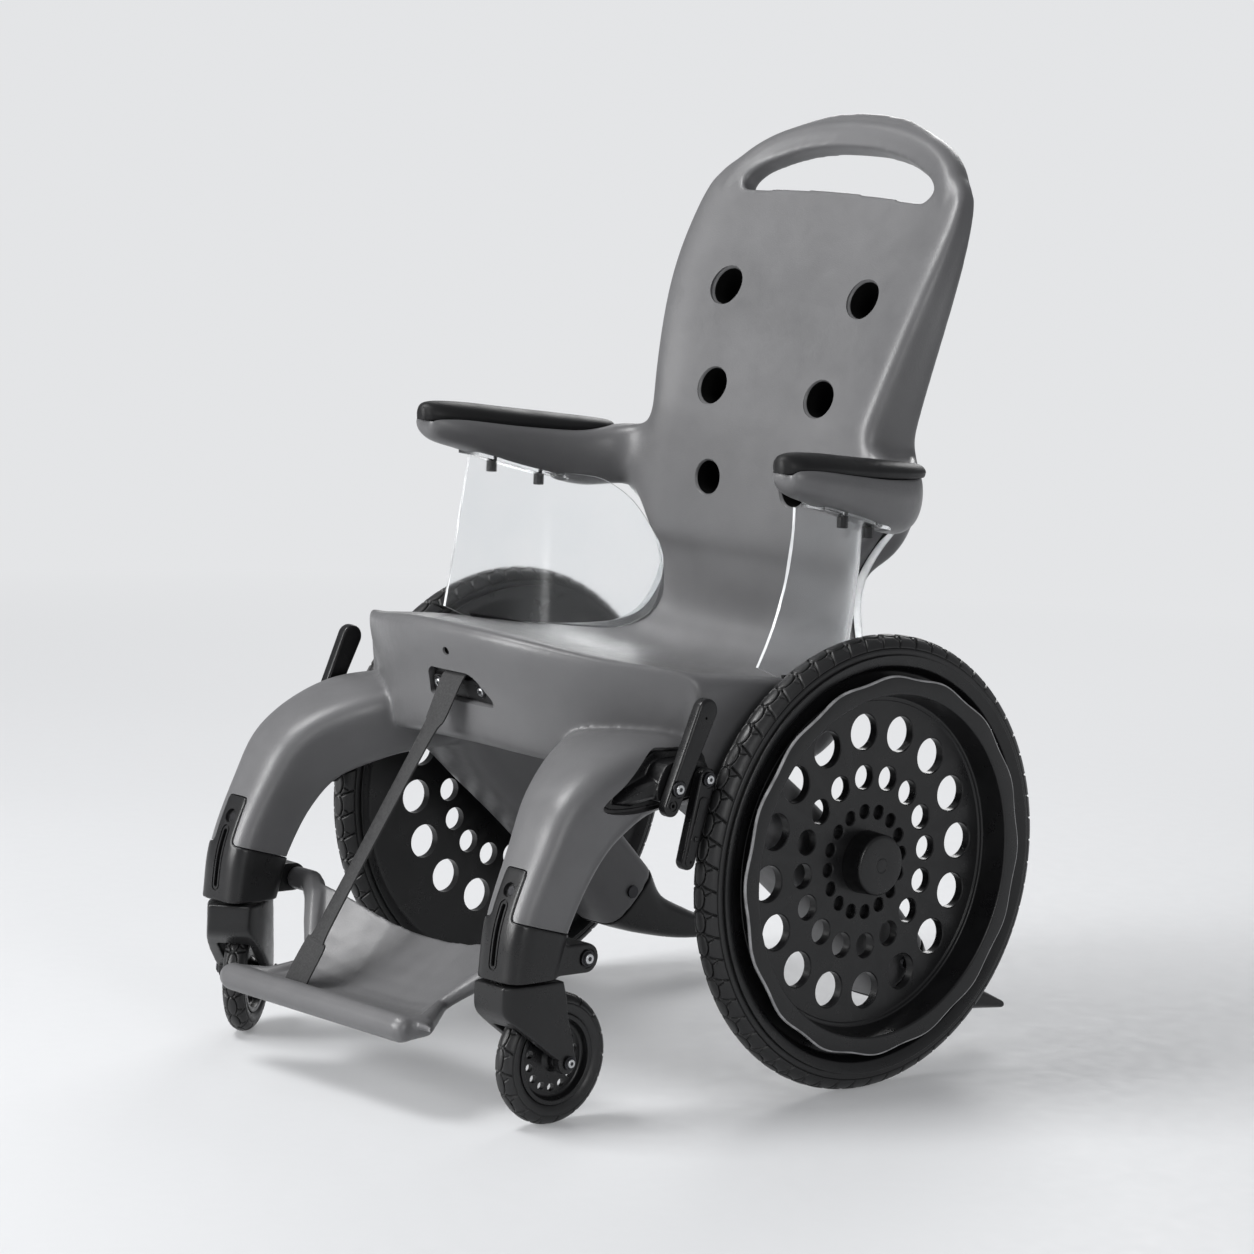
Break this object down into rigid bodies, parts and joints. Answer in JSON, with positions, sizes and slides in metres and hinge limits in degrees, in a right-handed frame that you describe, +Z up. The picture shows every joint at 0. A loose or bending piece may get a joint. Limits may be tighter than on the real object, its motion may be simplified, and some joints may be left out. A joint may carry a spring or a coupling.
{
  "type": "pool wheelchair",
  "caption": "One-piece moulded pool wheelchair with arched legs, clear side panels, perforated rear wheels, swivelling casters, lever brakes and a strap-hung folding footplate.",
  "frame": {"origin": "centre of the bounding box on the floor, under the middle of the chair", "axes": "+Z up, -Y the way the chair faces, +X the sitter's left"},
  "size_m": [0.6952, 0.838, 1.091],
  "materials": {
    "body_grey": "fine matt texture",
    "sleeve_black": "satin",
    "wheel_black": "satin",
    "tyre_black": "matt with scale tread",
    "rubber_black": "matt",
    "pad_black": "soft matt",
    "clear_panel": "clear, polished",
    "webbing_black": "woven",
    "steel": "satin"
  },
  "bodies": {
    "chair": {"body_shell": "body_grey", "footplate_strap": "webbing_black", "strap_bracket": "sleeve_black", "armrest_pad_left": "pad_black", "side_panel_left": "clear_panel", "panel_gasket_left": "rubber_black", "panel_knob_front_left": "sleeve_black", "panel_knob_rear_left": "sleeve_black", "leg_socket_left": "sleeve_black", "socket_screw_left": "steel", "footplate_bolt_left": "steel", "strap_bolt_left": "steel", "rear_axle_left": "steel", "rear_foot_left": "sleeve_black", "rear_foot_bolt_left": "steel", "brake_bracket_left": "sleeve_black", "brake_lever_pivot_left": "steel", "brake_shoe_pivot_left": "steel", "armrest_pad_right": "pad_black", "side_panel_right": "clear_panel", "panel_gasket_right": "rubber_black", "panel_knob_front_right": "sleeve_black", "panel_knob_rear_right": "sleeve_black", "leg_socket_right": "sleeve_black", "socket_screw_right": "steel", "footplate_bolt_right": "steel", "strap_bolt_right": "steel", "rear_axle_right": "steel", "rear_foot_right": "sleeve_black", "rear_foot_bolt_right": "steel", "brake_bracket_right": "sleeve_black", "brake_lever_pivot_right": "steel", "brake_shoe_pivot_right": "steel"},
    "footplate": {"footplate": "body_grey"},
    "rear_wheel_left_set": {"rear_wheel_left": "wheel_black", "rear_tyre_left": "tyre_black", "hub_cap_left": "wheel_black"},
    "caster_left_swivel": {"caster_fork_left": "sleeve_black", "caster_stem_left": "steel", "caster_axle_left": "steel"},
    "caster_left_wheel_set": {"caster_wheel_left": "wheel_black", "caster_tyre_left": "tyre_black"},
    "brake_lever_left_arm": {"brake_lever_left": "sleeve_black"},
    "brake_shoe_left_arm": {"brake_shoe_left": "sleeve_black"},
    "rear_wheel_right_set": {"rear_wheel_right": "wheel_black", "rear_tyre_right": "tyre_black", "hub_cap_right": "wheel_black"},
    "caster_right_swivel": {"caster_fork_right": "sleeve_black", "caster_stem_right": "steel", "caster_axle_right": "steel"},
    "caster_right_wheel_set": {"caster_wheel_right": "wheel_black", "caster_tyre_right": "tyre_black"},
    "brake_lever_right_arm": {"brake_lever_right": "sleeve_black"},
    "brake_shoe_right_arm": {"brake_shoe_right": "sleeve_black"}
  },
  "joints": [
    {"name": "rear_wheel_left_spin", "type": "hinge", "parent": "chair", "child": "rear_wheel_left_set", "pos_m": [0.3178, 0.118, 0.26], "axis": [1, 0, 0], "continuous": true},
    {"name": "caster_left_turn", "type": "hinge", "parent": "chair", "child": "caster_left_swivel", "pos_m": [0.2475, -0.34, 0.163], "axis": [0, 0, 1], "range_deg": [-200, 80]},
    {"name": "caster_left_spin", "type": "hinge", "parent": "caster_left_swivel", "child": "caster_left_wheel_set", "pos_m": [0.2475, -0.286, 0.0736], "axis": [1, 0, 0], "continuous": true},
    {"name": "brake_lever_left_swing", "type": "hinge", "parent": "chair", "child": "brake_lever_left_arm", "pos_m": [0.3103, -0.176, 0.37], "axis": [1, 0, 0], "range_deg": [0, 50]},
    {"name": "brake_shoe_left_swing", "type": "hinge", "parent": "chair", "child": "brake_shoe_left_arm", "pos_m": [0.3103, -0.132, 0.377], "axis": [1, 0, 0], "range_deg": [0, 1.2]},
    {"name": "rear_wheel_right_spin", "type": "hinge", "parent": "chair", "child": "rear_wheel_right_set", "pos_m": [-0.3178, 0.118, 0.26], "axis": [1, 0, 0], "continuous": true},
    {"name": "caster_right_turn", "type": "hinge", "parent": "chair", "child": "caster_right_swivel", "pos_m": [-0.2475, -0.34, 0.163], "axis": [0, 0, 1], "range_deg": [-110, 162]},
    {"name": "caster_right_spin", "type": "hinge", "parent": "caster_right_swivel", "child": "caster_right_wheel_set", "pos_m": [-0.28075, -0.29745, 0.0736], "axis": [0.788, 0.6157, 0], "continuous": true},
    {"name": "brake_lever_right_swing", "type": "hinge", "parent": "chair", "child": "brake_lever_right_arm", "pos_m": [-0.3103, -0.176, 0.37], "axis": [1, 0, 0], "range_deg": [0, 50]},
    {"name": "brake_shoe_right_swing", "type": "hinge", "parent": "chair", "child": "brake_shoe_right_arm", "pos_m": [-0.3103, -0.132, 0.377], "axis": [1, 0, 0], "range_deg": [0, 1.2]},
    {"name": "footplate_fold", "type": "hinge", "parent": "chair", "child": "footplate", "pos_m": [0, -0.266, 0.187], "axis": [-1, 0, 0], "range_deg": [0, 85], "deforming": ["footplate_strap"]}
  ],
  "couplings": [
    {"joint": "brake_shoe_left_swing", "follows": "brake_lever_left_swing", "ratio": 0.024},
    {"joint": "brake_shoe_right_swing", "follows": "brake_lever_right_swing", "ratio": 0.024}
  ]
}
